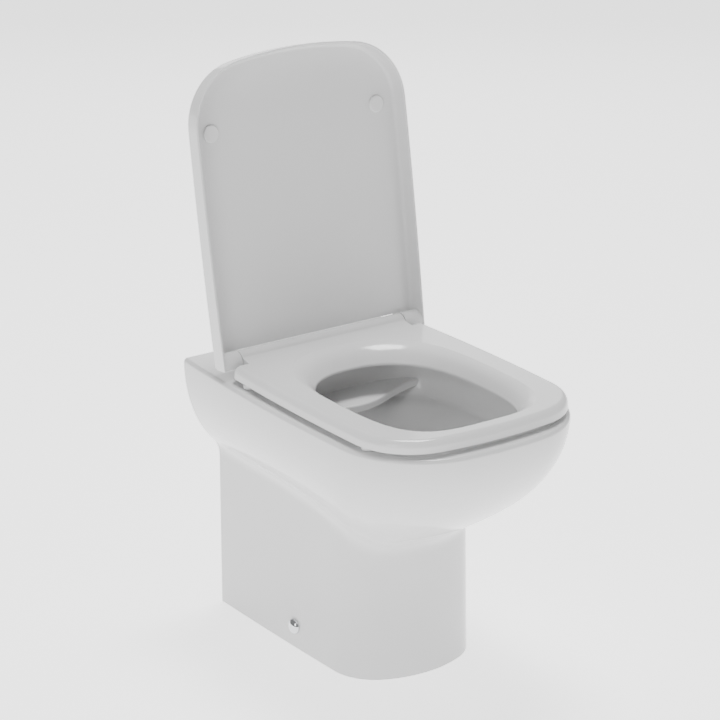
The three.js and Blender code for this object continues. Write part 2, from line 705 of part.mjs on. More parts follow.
// The push-in seal for the flush pipe, with a lip round the inlet's mouth.
function inletSeal() {
  const { bore, mouth, length, lip } = SEAL;
  const outer = INLET.socket - FIT;
  const seated = INLET.mouth - INLET.step;
  return turned([
    [bore, 0],
    [outer, 0],
    [outer, seated],
    [lip, seated],
    [lip, length],
    [mouth, length],
    [bore + 2, 6],
  ], 28);
}

// The sleeve that carries the waste on into the wall, with two soft fins for the drain pipe.
function wasteConnector() {
  const inner = TRAP.outer + 2 * FIT;
  const outer = inner + CONNECTOR.wall;
  const fins = [28, 42].flatMap((z) => [
    [outer, z - 4],
    [inner + CONNECTOR.fin, z],
    [outer, z + 4],
  ]);
  return turned([[inner, 0], [outer, 0], ...fins, [outer, CONNECTOR.length], [inner, CONNECTOR.length]], 26);
}

// ---- Assembly -----------------------------------------------------------------------------

function piece(name, geometry, finish, x = 0, y = 0, z = 0) {
  const mesh = new THREE.Mesh(geometry, finish());
  mesh.name = name;
  mesh.position.set(x, y, z);
  return mesh;
}

// A group turned about the hinges, whose pieces keep the positions they have when shut.
function hinged(angle) {
  const group = new THREE.Group();
  group.position.set(0, HINGE.y, HINGE.z);
  group.rotation.x = -angle;
  const moved = new THREE.Group();
  moved.position.set(0, -HINGE.y, -HINGE.z);
  group.add(moved);
  return { group, moved };
}

const group = new THREE.Group();
const seatParts = hinged(0);
const lidParts = hinged(OPEN_ANGLE);
group.add(seatParts.group, lidParts.group);

for (const [name, casting] of [["pan", pan()], ["bowl", lowerBowl()], ["trapway", trapway()]]) {
  group.add(piece(name, casting, glazedCeramic));
}
seatParts.moved.add(piece("seat", seat(), seatPlastic));
lidParts.moved.add(piece("lid", lid(), seatPlastic));

for (const [word, side] of [["left", -1], ["right", 1]]) {
  const hingeX = (side * HINGE.spacing) / 2;
  const add = (to, name, geometry, finish, x, y, z) => {
    const mesh = piece(`${name}_${word}`, geometry, finish, x, y, z);
    to.add(mesh);
    return mesh;
  };
  const outwards = (to, name, geometry, finish, x, y, z) => {
    add(to, name, geometry, finish, side * x, y, z).rotation.y = (side * Math.PI) / 2;
  };

  const pinInner = HINGE.pin + FIT;
  const pin = rodZ(HINGE.pin, PIN.from, PIN.to, 0, 0, 20);
  const bush = ring(BUSH.radius, pinInner, KNUCKLE.from + FIT, BUSH.to - FIT, 20);
  const damper = ring(DAMPER.radius, pinInner, DAMPER.from, DAMPER.to, 20);
  outwards(group, "hinge_pin", pin, steel, 0, HINGE.y, HINGE.z);
  outwards(lidParts.moved, "lid_hinge_bush", bush, greyPlastic, 0, HINGE.y, HINGE.z);
  outwards(seatParts.moved, "soft_close_damper", damper, greyPlastic, 0, HINGE.y, HINGE.z);

  const pad = ring(PAD.radius, DECK_BORE, PAD.bottom, PAD.top);
  add(group, "hinge_post", hingePost(), chrome, hingeX, HINGE.y, 0);
  add(group, "hinge_pad", pad, blackRubber, hingeX, HINGE.y, 0);
  add(group, "hinge_stud", rodZ(STUD.radius, STUD.bottom, STUD.top, 0, 0, 16), steel, hingeX, HINGE.y, 0);
  add(group, "cone_washer", coneWasher(), blackRubber, hingeX, HINGE.y, 0);
  add(group, "wing_nut", wingNut(), whitePlastic, hingeX, HINGE.y, 0);

  const lidBufferX = side * LID_BUFFER.x;
  add(lidParts.moved, "lid_buffer", lidBuffer(), bufferPlastic, lidBufferX, LID_BUFFER.y, LID_FACE - FIT);
  for (const buffer of SEAT_BUFFERS) {
    const name = `seat_buffer_${buffer.name}`;
    add(seatParts.moved, name, seatBuffer(), bufferPlastic, side * buffer.x, buffer.y, RIM_HEIGHT + FIT);
  }

  const sleeve = ring(FIXING.bore - FIT, SCREW.radius + FIT, 0, SLEEVE.length, 16);
  const floorScrewX = side * (BRACKET_FACE - BRACKET.screwAt);
  const sideScrew = screw(SCREW.sideLength);
  const bracket = add(group, "floor_bracket", floorBracket(), greyPlastic, 0, FIXING.y, 0);
  if (side < 0) bracket.rotation.z = Math.PI;
  add(group, "floor_screw", screw(SCREW.floorLength), steel, floorScrewX, FIXING.y, 0);
  outwards(group, "side_screw", sideScrew, steel, SIDE_FACE - SCREW.sideIn, FIXING.y, FIXING.z);
  outwards(group, "side_sleeve", sleeve, whitePlastic, SIDE_FACE - SLEEVE.sunk, FIXING.y, FIXING.z);
  outwards(group, "side_cap", sideCap(), chrome, SIDE_FACE + FIT, FIXING.y, FIXING.z);
}

const seal = piece("flush_inlet_seal", inletSeal(), blackRubber, 0, INLET.step + FIT, INLET.height);
const connector = piece("waste_connector", wasteConnector(), blackRubber, 0, CONNECTOR.from, OUTLET_HEIGHT);
for (const mesh of [seal, connector]) mesh.rotation.x = -Math.PI / 2;
group.add(seal, connector);

export default group;
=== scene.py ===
# %% [markdown]
# # A back-to-wall toilet
# A glazed ceramic pan stands on the floor with its flat back against a wall, and the cistern is hidden
# behind that wall. A plastic seat lies on the rim, and a lid that wraps round the seat leans open.
# Its pieces already exist as measured solids, one for each, apart from the ceramic. That is one fired
# piece, but three solids stand for it: the pan, its lower bowl and its trapway. This lesson loads them
# all, builds a finer surface for each real piece in the same place, and gives each one its finish.

# %% Load the measured pieces
import json
import math

import bmesh
import bpy
from mathutils import Matrix, Vector


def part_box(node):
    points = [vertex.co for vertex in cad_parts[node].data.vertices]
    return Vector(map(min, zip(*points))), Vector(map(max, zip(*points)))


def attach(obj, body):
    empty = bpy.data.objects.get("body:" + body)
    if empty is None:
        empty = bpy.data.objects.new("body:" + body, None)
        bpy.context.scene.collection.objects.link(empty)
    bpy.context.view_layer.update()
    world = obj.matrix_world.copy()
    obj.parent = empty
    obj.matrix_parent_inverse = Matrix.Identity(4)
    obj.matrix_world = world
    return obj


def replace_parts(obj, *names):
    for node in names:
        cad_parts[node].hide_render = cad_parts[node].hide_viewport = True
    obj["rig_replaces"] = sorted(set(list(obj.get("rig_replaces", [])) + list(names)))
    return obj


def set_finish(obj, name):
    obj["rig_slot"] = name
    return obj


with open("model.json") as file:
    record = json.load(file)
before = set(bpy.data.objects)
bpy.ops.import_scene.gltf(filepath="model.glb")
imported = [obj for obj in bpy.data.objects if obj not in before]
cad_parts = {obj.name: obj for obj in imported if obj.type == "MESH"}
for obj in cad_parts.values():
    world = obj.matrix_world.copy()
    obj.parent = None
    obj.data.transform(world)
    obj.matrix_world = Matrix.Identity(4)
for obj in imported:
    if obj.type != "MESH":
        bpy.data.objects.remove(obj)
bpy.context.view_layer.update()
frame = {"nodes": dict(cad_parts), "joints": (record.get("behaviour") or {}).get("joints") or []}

MM = 0.001

# %% [markdown]
# ## Sizes
# The large sizes are read from the measured pieces, so that they can't drift apart. The rest are the
# radii, levels and gaps that a potter's mould or a seat maker's drawing would give, in millimetres.

# %% Read the driving sizes
pan_low, pan_high = (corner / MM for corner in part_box("pan"))
hinge_point = Vector(frame["joints"][0]["pos_m"]) / MM
WALL_Y = pan_high.y
DEPTH = pan_high.y - pan_low.y
RIM_HEIGHT = pan_high.z
GLAZED_WALL = 12
FIT = 0.3
HINGE_Y, HINGE_Z = hinge_point.y, hinge_point.z
HINGE_SPACING = 155
OPEN_ANGLE = math.radians(99.56)
SIDES = {"left": -1, "right": 1}
print("pan", [round(v, 1) for v in pan_low], [round(v, 1) for v in pan_high], "hinge", HINGE_Y, HINGE_Z)

# %% [markdown]
# ## Outlines
# The rim, the pedestal, the seat and the lid all share one kind of plan: a bowed front, two nearly
# straight sides, and a corner arc that touches both. Three arcs are enough to draw it, and moving
# each arc inwards gives a true inset, which is how the rounded edges are made later.

# %% Draw a plan outline from three arcs
def arc(centre, radius, start, end, steps):
    angles = [start + (end - start) * i / steps for i in range(steps + 1)]
    return [centre + Vector((radius * math.cos(a), radius * math.sin(a))) for a in angles]


def corner_centre(bow_centre, bow_reach, side_centre, side_reach):
    between = side_centre - bow_centre
    along = (bow_reach**2 - side_reach**2 + between.length_squared) / (2 * between.length)
    across = math.sqrt(bow_reach**2 - along**2)
    unit = between.normalized()
    return bow_centre + unit * along + Vector((-unit.y, unit.x)) * across


def half_plan(plan, rear, inset=0, steps=(14, 22, 22)):
    bow_centre = Vector((0, plan["front"] + plan["bow"]))
    side_centre = Vector((plan["half"] - plan["side"], plan["middle"]))
    reaches = plan["bow"] - plan["corner"], plan["side"] - plan["corner"]
    centre = corner_centre(bow_centre, reaches[0], side_centre, reaches[1])
    bow_angle = math.atan2(*(centre - bow_centre).yx)
    side_angle = math.atan2(*(centre - side_centre).yx)
    rear_angle = math.asin((rear - plan["middle"]) / (plan["side"] - inset))
    front = arc(bow_centre, plan["bow"] - inset, -math.pi / 2, bow_angle, steps[0])[:-1]
    corner = arc(centre, plan["corner"] - inset, bow_angle, side_angle, steps[1])
    side = arc(side_centre, plan["side"] - inset, side_angle, rear_angle, steps[2])[1:]
    return front + corner + side


def mirrored(half):
    return half + [Vector((-p.x, p.y)) for p in reversed(half[1:])]


def at(points, z):
    return [Vector((p.x, p.y, z)) for p in points]


RIM = {"half": 182.4, "middle": 0, "side": 3200, "front": -WALL_Y, "bow": 560, "corner": 130}
print("rim outline:", len(mirrored(half_plan(RIM, WALL_Y))), "points")

# %% [markdown]
# The bowl and the hole in the seat are rounder. A superellipse suits them: one power says how square
# the outline is, so a bowl can be round at the bottom and nearly square at the rim.
# Between the levels that are listed, a curve that never overshoots fills in the rest.

# %% Draw a superellipse, and fill in between hand-set levels
def hoop(half, front, rear, square_front, square_rear, count=128):
    middle, reach = (front + rear) / 2, (rear - front) / 2
    points = []
    for i in range(count):
        c, s = math.cos(2 * math.pi * i / count), math.sin(2 * math.pi * i / count)
        power = 2 / (square_front if s < 0 else square_rear)
        x = math.copysign(abs(c) ** power, c)
        y = math.copysign(abs(s) ** power, s)
        points.append(Vector((half * x, middle + reach * y)))
    return points


def between_levels(levels, z):
    """A row of values at height z, on a smooth curve through rows that start with their height."""
    i = max(k for k in range(len(levels) - 1) if levels[k][0] <= z or k == 0)
    low, high = levels[i], levels[i + 1]
    step = high[0] - low[0]
    t = (z - low[0]) / step

    def slope(k, column):
        if k in (0, len(levels) - 1):
            return (high[column] - low[column]) / step
        before = (levels[k][column] - levels[k - 1][column]) / (levels[k][0] - levels[k - 1][0])
        after = (levels[k + 1][column] - levels[k][column]) / (levels[k + 1][0] - levels[k][0])
        return 0 if before * after <= 0 else 2 * before * after / (before + after)

    row = []
    for c in range(1, len(low)):
        start, end = slope(i, c) * step, slope(i + 1, c) * step
        a, b = low[c], high[c]
        row.append(
            a + t * start + t * t * (3 * (b - a) - 2 * start - end) + t**3 * (2 * (a - b) + start + end)
        )
    return row


print("bowl outline:", len(hoop(150, -240, 137, 4.6, 4.6)), "points")

# %% [markdown]
# ## Solids
# A closed form with a changing outline is a loft: draw the lowest outline, then extrude its edges
# again and again and set each new row of points on the next outline. Straight bars and round rods
# come from the ready-made cube and cone, and anything turned comes from spinning half its section.

# %% Make solids from outlines, blocks, rods and turned profiles
def as_object(name, bm):
    bmesh.ops.recalc_face_normals(bm, faces=bm.faces)
    mesh = bpy.data.meshes.new(name)
    bm.to_mesh(mesh)
    bm.free()
    obj = bpy.data.objects.new(name, mesh)
    bpy.context.scene.collection.objects.link(obj)
    return obj


def next_row(bm, row, edges, points):
    grown = bmesh.ops.extrude_edge_only(bm, edges=edges)["geom"]
    fresh = {v for v in grown if isinstance(v, bmesh.types.BMVert)}
    row = [next(e.other_vert(v) for e in v.link_edges if e.other_vert(v) in fresh) for v in row]
    for vertex, point in zip(row, points):
        vertex.co = point * MM
    edges = [e for e in grown if isinstance(e, bmesh.types.BMEdge) and fresh.issuperset(e.verts)]
    return row, edges


def loft(name, rings):
    bm = bmesh.new()
    row = [bm.verts.new(p * MM) for p in rings[0]]
    edges = [bm.edges.new(pair) for pair in zip(row, row[1:] + row[:1])]
    bmesh.ops.contextual_create(bm, geom=edges)
    for points in rings[1:]:
        row, edges = next_row(bm, row, edges, points)
    bmesh.ops.contextual_create(bm, geom=edges)
    return as_object(name, bm)


def along_x(name, outline, start, end):
    """A bar with a section drawn in (y, z)."""
    return loft(name, [[Vector((x, p.x, p.y)) for p in outline] for x in (start, end)])


def rod(name, radius, start, end, segments=64):
    """A round rod between two points."""
    start, end = Vector(start), Vector(end)
    turn = (end - start).to_track_quat("Z", "Y").to_matrix().to_4x4()
    place = Matrix.Translation((start + end) / 2 * MM) @ turn
    bm = bmesh.new()
    bmesh.ops.create_cone(
        bm, cap_ends=True, segments=segments, radius1=radius * MM, radius2=radius * MM,
        depth=(end - start).length * MM, matrix=place,
    )
    return as_object(name, bm)


def block(name, low, high):
    low, high = Vector(low), Vector(high)
    bm = bmesh.new()
    size = Matrix.Diagonal(((high - low) * MM).to_4d())
    bmesh.ops.create_cube(bm, size=1, matrix=Matrix.Translation((low + high) / 2 * MM) @ size)
    return as_object(name, bm)


def turned(name, profile, segments=64, closed=True):
    """Spins (radius, height) points about Z. A closed profile is a ring, an open one ends on the axis."""
    bm = bmesh.new()
    row = [bm.verts.new((radius * MM, 0, height * MM)) for radius, height in profile]
    ends = row[1:] + row[:1] if closed else row[1:]
    edges = [bm.edges.new(pair) for pair in zip(row, ends)]
    bmesh.ops.spin(
        bm, geom=row + edges, cent=(0, 0, 0), axis=(0, 0, 1), angle=2 * math.pi,
        steps=segments, use_merge=True,
    )
    bmesh.ops.remove_doubles(bm, verts=bm.verts, dist=1e-7)
    return as_object(name, bm)


# %% [markdown]
# Real ceramic and plastic are cast or moulded in one piece, so their forms run into each other.
# A Boolean modifier joins and cuts whole solids the way a potter joins and cuts clay. Each one is
# applied at once, because the next cut needs its result.

# %% Join, cut, place and smooth
def apply_modifiers(obj):
    shape = obj.evaluated_get(bpy.context.evaluated_depsgraph_get())
    mesh = bpy.data.meshes.new_from_object(shape)
    obj.modifiers.clear()
    old, obj.data = obj.data, mesh
    bpy.data.meshes.remove(old)
    mesh.name = obj.name
    return obj


def combine(operation, obj, *tools):
    for tool in tools:
        cut = obj.modifiers.new(operation.lower(), "BOOLEAN")
        cut.operation, cut.solver, cut.object = operation, "MANIFOLD", tool
        apply_modifiers(obj)
        bpy.data.objects.remove(tool)
    return obj


def move(obj, turn_axis=None, angle=0, about=(0, 0, 0), by=(0, 0, 0)):
    """Turns a mesh about a point and moves it, in its own vertices."""
    pivot = Matrix.Translation(Vector(about) * MM)
    turn = Matrix.Rotation(angle, 4, turn_axis) if turn_axis else Matrix.Identity(4)
    obj.data.transform(Matrix.Translation(Vector(by) * MM) @ pivot @ turn @ pivot.inverted())
    return obj


def soften(obj, width, segments=2, limit=50):
    """Rounds every edge sharper than the limit."""
    bm = bmesh.new()
    bm.from_mesh(obj.data)
    sharp = [e for e in bm.edges if e.is_manifold and e.calc_face_angle() > math.radians(limit)]
    bmesh.ops.bevel(
        bm, geom=sharp, offset=width * MM, offset_type="OFFSET", affect="EDGES", segments=segments,
        profile=0.5, material=-1, clamp_overlap=True,
    )
    bm.to_mesh(obj.data)
    bm.free()
    return obj


def smooth(obj, limit=28):
    """Smooth shading, with the flat faces deciding the light where they meet a rounded edge."""
    bm = bmesh.new()
    bm.from_mesh(obj.data)
    bmesh.ops.remove_doubles(bm, verts=bm.verts, dist=2e-6)
    bmesh.ops.dissolve_degenerate(bm, dist=2e-6, edges=bm.edges)
    bm.to_mesh(obj.data)
    bm.free()
    obj.data.shade_smooth()
    obj.data.set_sharp_from_angle(angle=math.radians(limit))
    weights = obj.modifiers.new("flat faces lead", "WEIGHTED_NORMAL")
    weights.keep_sharp = True
    return apply_modifiers(obj)


# %% [markdown]
# ## The ceramic pan
# A pan is slip-cast in plaster moulds, and its outside, bowl and trapway are one body once it is
# fired. The outside is a loft from the foot to the rim. Each level lies somewhere between the rim's
# outline and the pedestal's, and a formula says how much of the rim's overhang is left: it swells
# out under the rim and then turns in quickly, with a small fillet above the pedestal.

# %% The outside, from the foot up to the rim
PEDESTAL = {"half": 113.4, "middle": 220, "side": 7500, "front": -94, "bow": 161, "corner": 72}
FOOT_SPREAD = 6
RIM_ROUND = 6
FLARE_REAR, FLARE_DROP = 144, 46
FULLNESS, FRONT_LEANER = 2.2, 0.15
FLANK_END, FILLET = 0.93, 0.22


def overhang(share, forward):
    swell = lambda s: (1 - s ** (FULLNESS - FRONT_LEANER * forward)) ** 0.8
    if share <= FLANK_END:
        return swell(share)
    return swell(FLANK_END) * max(0, 1 - (share - FLANK_END) / FILLET) ** 2.5


def flank_ring(share, inset, rear, top=RIM_HEIGHT):
    rim, column = (mirrored(half_plan(plan, rear, inset)) for plan in (RIM, PEDESTAL))
    ring = []
    for outer, inner in zip(rim, column):
        forward = max(0, (WALL_Y - outer.y) / DEPTH) ** 4
        p = inner.lerp(outer, overhang(share, forward))
        drop = share * (FLARE_REAR + FLARE_DROP * forward)
        ring.append(Vector((p.x, p.y, min(top, RIM_HEIGHT - drop))))
    return ring


def pedestal_ring(z, inset, rear):
    spread = FOOT_SPREAD * (1 - z / (RIM_HEIGHT / 2))
    return at(mirrored(half_plan({**PEDESTAL, "front": PEDESTAL["front"] - spread}, rear, inset)), z)


def pan_outside():
    foot = [pedestal_ring(z, 0, WALL_Y) for z in (0, 40, 80, 120)]
    shares = [1.15 - 0.02 * i for i in range(12)] + [0.91 - 0.035 * i for i in range(25)]
    flank = [flank_ring(share, 0, WALL_Y) for share in shares]
    edge = []
    for i in range(9):
        angle = math.radians(90 * i / 8)
        inset, drop = RIM_ROUND * (1 - math.cos(angle)), RIM_ROUND * (1 - math.sin(angle))
        edge.append(at(mirrored(half_plan(RIM, WALL_Y, inset)), RIM_HEIGHT - drop))
    return loft("pan_surface", foot + flank + edge)


def pan_hollow():
    rear = WALL_Y + 5
    shares = [1.15, 1.1, 1.05, 1, 0.96, 0.93, 0.88, 0.82, 0.74, 0.65, 0.54, 0.42, 0.3, 0.18, 0.05]
    flank = [flank_ring(share, GLAZED_WALL, rear, RIM_HEIGHT - GLAZED_WALL) for share in shares]
    return loft("hollow", [pedestal_ring(-2, GLAZED_WALL, rear)] + flank)


pan = combine("DIFFERENCE", pan_outside(), pan_hollow())
print("pan shell:", len(pan.data.polygons), "faces")

# %% [markdown]
# The bowl is its own loft, drawn twice: once grown by the wall's thickness to add clay, and once at
# its true size to hollow it out. Near the top it steps out to a ledge and then to the rim. A shelf at
# the back hides where the flush water comes in, and its nose reaches forward over the water.

# %% The bowl, its shelf, the trapway and the flush inlet
BOWL = [  # height, half-width, front, rear, squareness
    (147, 24, -10, 34, 2),
    (158, 38, -28, 48, 2),
    (185, 50, -52, 58, 2.1),
    (215, 66, -82, 66, 2.2),
    (255, 90, -143, 80, 2.4),
    (290, 116, -188, 96, 2.8),
    (326, 139, -221, 114, 3.6),
    (331, 145, -228, 124, 4),
    (355, 152, -237, 134, 4.4),
    (395, 154, -241, 137, 4.6),
    (398.5, 155.5, -242.5, 138.5, 4.6),
    (400.5, 159, -246, 142, 4.6),
]
BOWL_WALL = 11
BROW = {"half": 92, "rear": -240, "bottom": 338}
SHELF = {"top": 355, "thick": 12, "nose": 67, "tail": 106, "reach": 132, "back": 144, "side": 160}
OUTLET_HEIGHT = 180
TRAP = {"outer": 45, "bore": 37, "end": 232}
INLET = {"height": 318, "outer": 34, "bore": 22, "socket": 29.8, "from": 92, "mouth": 206, "step": 184}


def bowl_heights(top):
    heights = []
    for low, high in zip(BOWL, BOWL[1:]):
        steps = max(2, round((high[0] - low[0]) / 4))
        heights += [low[0] + (high[0] - low[0]) * i / steps for i in range(steps)]
    return [z for z in heights + [BOWL[-1][0]] if z < top]


def bowl(name, offset, top):
    rings = []
    for z in bowl_heights(top):
        half, front, rear, square = between_levels(BOWL, z)
        outline = hoop(half + offset, front - offset, rear + offset, square, square)
        rings.append(at(outline, z if rings else z - offset))
    return loft(name, rings)


def distributor_shelf():
    steps = 40
    wave = []
    for i in range(-steps, steps + 1):
        swing = (SHELF["tail"] - SHELF["nose"]) / 2 * math.cos(math.pi * i / steps)
        wave.append(Vector((SHELF["reach"] * i / steps, (SHELF["nose"] + SHELF["tail"]) / 2 - swing)))
    corners = [Vector((x * SHELF["side"], y)) for x, y in ((-1, SHELF["back"]), (-1, SHELF["tail"]))]
    far = [Vector((-p.x, p.y)) for p in reversed(corners)]
    outline = corners + wave + far
    shelf = loft("shelf", [at(outline, SHELF["top"] - SHELF["thick"]), at(outline, SHELF["top"])])
    return soften(shelf, 3, segments=5)


def trap_tube(name, radius, end):
    """A pipe that climbs over a weir behind the bowl and drops to the outlet."""
    route = [(12, -3), (60, 0), (112, 27), (162, 8), (194, 0), (211, 0), (end, 0)]
    line = [Vector((y, OUTLET_HEIGHT + rise)) for y, rise in route]
    line = [line[0] * 2 - line[1]] + line + [line[-1] * 2 - line[-2]]
    path = []
    for before, a, b, after in zip(line, line[1:], line[2:], line[3:]):
        for t in (i / 6 for i in range(6)):
            path.append(0.5 * (2 * a + (b - before) * t + (2 * before - 5 * a + 4 * b - after) * t * t
                               + (3 * a - before - 3 * b + after) * t**3))
    path.append(line[-2])
    rings = []
    for i, p in enumerate(path):
        ahead = (path[min(i + 1, len(path) - 1)] - path[max(i - 1, 0)]).normalized()
        ring = []
        for k in range(48):
            c, s = math.cos(2 * math.pi * k / 48), math.sin(2 * math.pi * k / 48)
            ring.append(Vector((radius * c, p.x - radius * s * ahead.y, p.y + radius * s * ahead.x)))
        rings.append(ring)
    return loft(name, rings)


basin = combine("INTERSECT", bowl("basin", BOWL_WALL, RIM_HEIGHT), pan_outside())
shelf = combine("INTERSECT", distributor_shelf(), bowl("basin_again", BOWL_WALL, RIM_HEIGHT))
brow = block("brow", (-BROW["half"], pan_low.y, BROW["bottom"]), (BROW["half"], BROW["rear"], RIM_HEIGHT))
brow = combine("INTERSECT", brow, pan_outside())
horn = rod("horn", INLET["outer"], (0, 110, INLET["height"]), (0, INLET["mouth"], INLET["height"]))
combine("UNION", pan, basin, brow, trap_tube("trap", TRAP["outer"], TRAP["end"]), horn)
print("pan with its bowl and trapway:", len(pan.data.polygons), "faces")

# %% Hollow out the bowl and drill the pan
FIXING = {"y": 75, "z": 34, "bore": 6}
DECK_BORE, DECK_BORE_DEPTH = 7.5, 30
side_face = PEDESTAL["half"] - (FIXING["y"] - PEDESTAL["middle"]) ** 2 / (2 * PEDESTAL["side"])

flush_way = [
    rod(f"inlet_{radius}", radius, (0, start, INLET["height"]), (0, INLET["mouth"] + 1, INLET["height"]))
    for radius, start in ((INLET["bore"], INLET["from"]), (INLET["socket"], INLET["step"]))
]
waste_way = trap_tube("waste", TRAP["bore"], TRAP["end"] + 4)
combine("DIFFERENCE", pan, bowl("water", 0, RIM_HEIGHT + 1), waste_way, *flush_way)
for side in SIDES.values():
    bolt_x, wall_x = side * HINGE_SPACING / 2, side * (side_face - GLAZED_WALL / 2)
    low, high = RIM_HEIGHT - DECK_BORE_DEPTH, RIM_HEIGHT + 1
    deck = rod("deck_bore", DECK_BORE, (bolt_x, HINGE_Y, low), (bolt_x, HINGE_Y, high))
    ends = [(wall_x + reach, FIXING["y"], FIXING["z"]) for reach in (-GLAZED_WALL, GLAZED_WALL)]
    combine("DIFFERENCE", pan, deck, rod("side_bore", FIXING["bore"], *ends))
combine("UNION", pan, shelf)
smooth(pan)
print("finished pan:", len(pan.data.polygons), "faces")

# %% [markdown]
# ## The seat
# The seat is one thick moulding. Its plate has a wide rounded shoulder outside, and the hole's edge
# falls steeply from another wide shoulder inside. At the back the plate sweeps up into a round barrel
# that hides the hinges. The plate, the barrel and the inner edge are joined, and then the hole and
# the slots for the hinge posts are cut.

# %% The seat's plate, barrel and inner edge
SEAT = {"half": 172.2, "middle": -40, "side": 3300, "front": -254.3, "bow": 658, "corner": 93}
SEAT_BOTTOM, SEAT_TOP, SEAT_ROUND = 406.5, 424.4, 11
SHOULDER = {"y": 151, "round": 14, "neck": 4}
BARREL = {"radius": 14.9, "half": 141.5, "meet": math.radians(143), "sweep": 43, "bend": 16.5, "toe": 19}
HOLE_LOW = (111, -206, 97.5, 3.3, 2.45)
HOLE_HIGH = (130, -228, 132, 3.6, 2.7)
INNER_EDGE = 397.3


def seat_plan(inset):
    y, turn, neck = SHOULDER["y"], SHOULDER["round"], SHOULDER["neck"]
    side = half_plan(SEAT, y - turn, inset)
    outer = Vector((side[-1].x + inset - turn, y - turn))
    inner = Vector((BARREL["half"] + neck, y + neck))
    shoulder = arc(outer, turn - inset, 0, math.pi / 2, 10)[1:]
    throat = arc(inner, neck + inset, -math.pi / 2, -math.pi, 6)
    return mirrored(side + shoulder + throat + [Vector((BARREL["half"] - inset, HINGE_Y))])


def seat_plate():
    side_top = SEAT_TOP - SEAT_ROUND
    rings = [at(seat_plan(inset), SEAT_BOTTOM + rise) for inset, rise in ((1, 0), (0.3, 0.3), (0, 1))]
    for i in range(13):
        angle = math.radians(90 * i / 12)
        inset = 0.6 + SEAT_ROUND * (1 - math.cos(angle))
        rings.append(at(seat_plan(inset), side_top + SEAT_ROUND * math.sin(angle)))
    return loft("seat_surface", rings)


def seat_barrel():
    meet = BARREL["meet"]
    start = Vector((HINGE_Y - BARREL["sweep"], SEAT_TOP))
    control = Vector((HINGE_Y - BARREL["bend"], SEAT_TOP))
    centre = Vector((HINGE_Y, HINGE_Z))
    end = centre + BARREL["radius"] * Vector((math.cos(meet), math.sin(meet)))
    sweep = [start.lerp(control, t).lerp(control.lerp(end, t), t) for t in (i / 16 for i in range(16))]
    back = arc(centre, BARREL["radius"], meet, -math.pi / 2, 48)
    under = Vector((start.x, SEAT_BOTTOM + 6))
    toe = Vector((HINGE_Y - BARREL["toe"], SEAT_BOTTOM))
    return along_x("barrel", [under] + sweep + back + [toe], -BARREL["half"], BARREL["half"])


def hole_ring(z, share, grow=0):
    half, front, rear, *square = (a + (b - a) * share for a, b in zip(HOLE_LOW, HOLE_HIGH))
    return at(hoop(half + grow, front - grow, rear + grow, *square, count=176), z)


HOLE_EDGE = [  # height, share of the way out to the high edge
    (INNER_EDGE - 1, 0),
    (INNER_EDGE + 2, 0),
    (404, 0.09),
    (410, 0.24),
    (415, 0.4),
    (419, 0.58),
    (422, 0.77),
    (SEAT_TOP - 0.8, 0.92),
    (SEAT_TOP + 0.6, 1.1),
]


def seat_hole():
    heights = [HOLE_EDGE[0][0], HOLE_EDGE[1][0]]
    for (low, _), (high, _) in zip(HOLE_EDGE[1:], HOLE_EDGE[2:]):
        heights += [low + (high - low) * i / 5 for i in range(1, 6)]
    return loft("hole", [hole_ring(z, *between_levels(HOLE_EDGE, z)) for z in heights])


def seat_inner_edge():
    root = SEAT_BOTTOM - INNER_EDGE
    levels = [(0, 2.4), (0.5, 3), (1.3, 3.6), (2, 5.5), (root - 2, 9), (root + 1, 15)]
    return loft("inner_edge", [hole_ring(INNER_EDGE + rise, 0, grow) for rise, grow in levels])


seat = combine("UNION", seat_plate(), seat_barrel(), seat_inner_edge())
combine("DIFFERENCE", seat, seat_hole())
print("seat:", len(seat.data.polygons), "faces")

# %% Cut the slots and bores in the seat's barrel
PIN = {"radius": 4, "from": 58, "to": 166}
DAMPER = {"radius": 8.2, "from": 89, "to": 139}
POST = {"eye": 10.5, "half": 7.5, "x": 6.5, "y": 6}
BUFFER_PEG = {"radius": 3.5, "length": 7}
SEAT_BUFFERS = {"front": (156, -170), "rear": (160, 112)}


def on_axis(name, radius, side, start, end):
    """A rod on the hinge axis, between two distances from the middle."""
    return rod(name, radius, (side * start, HINGE_Y, HINGE_Z), (side * end, HINGE_Y, HINGE_Z), 48)


def post_slot(side):
    x, half = side * HINGE_SPACING / 2, POST["half"] + 1
    centre = Vector((HINGE_Y, HINGE_Z))
    swing = arc(centre, BARREL["radius"] + 9, math.radians(-125), math.radians(42), 12)
    return [
        rod("eye_room", POST["eye"] + 1, (x - half, HINGE_Y, HINGE_Z), (x + half, HINGE_Y, HINGE_Z), 48),
        along_x("swing_room", [centre] + swing, x - half, x + half),
    ]


for side in SIDES.values():
    end = BARREL["half"] + 1
    combine("DIFFERENCE", seat, *post_slot(side))
    combine("DIFFERENCE", seat, on_axis("pin_bore", PIN["radius"] + FIT, side, PIN["from"] - 2, end))
    damper_room = on_axis("damper_bore", DAMPER["radius"] + FIT, side, DAMPER["from"] - 5, end)
    combine("DIFFERENCE", seat, damper_room)
    for x, y in SEAT_BUFFERS.values():
        low, high = SEAT_BOTTOM - 1, SEAT_BOTTOM + BUFFER_PEG["length"] + FIT
        peg = rod("peg_bore", BUFFER_PEG["radius"] + FIT, (side * x, y, low), (side * x, y, high), 32)
        combine("DIFFERENCE", seat, peg)
smooth(seat)
print("finished seat:", len(seat.data.polygons), "faces")

# %% [markdown]
# ## The lid
# The lid is a shallow tray that wraps over the seat. It is easiest to draw shut, lying flat above the
# rim, and then to turn about the hinge axis. It is lofted as a full block, its rear end is rounded
# off, and it is hollowed from below. At each end it keeps a solid knuckle that closes the barrel off.

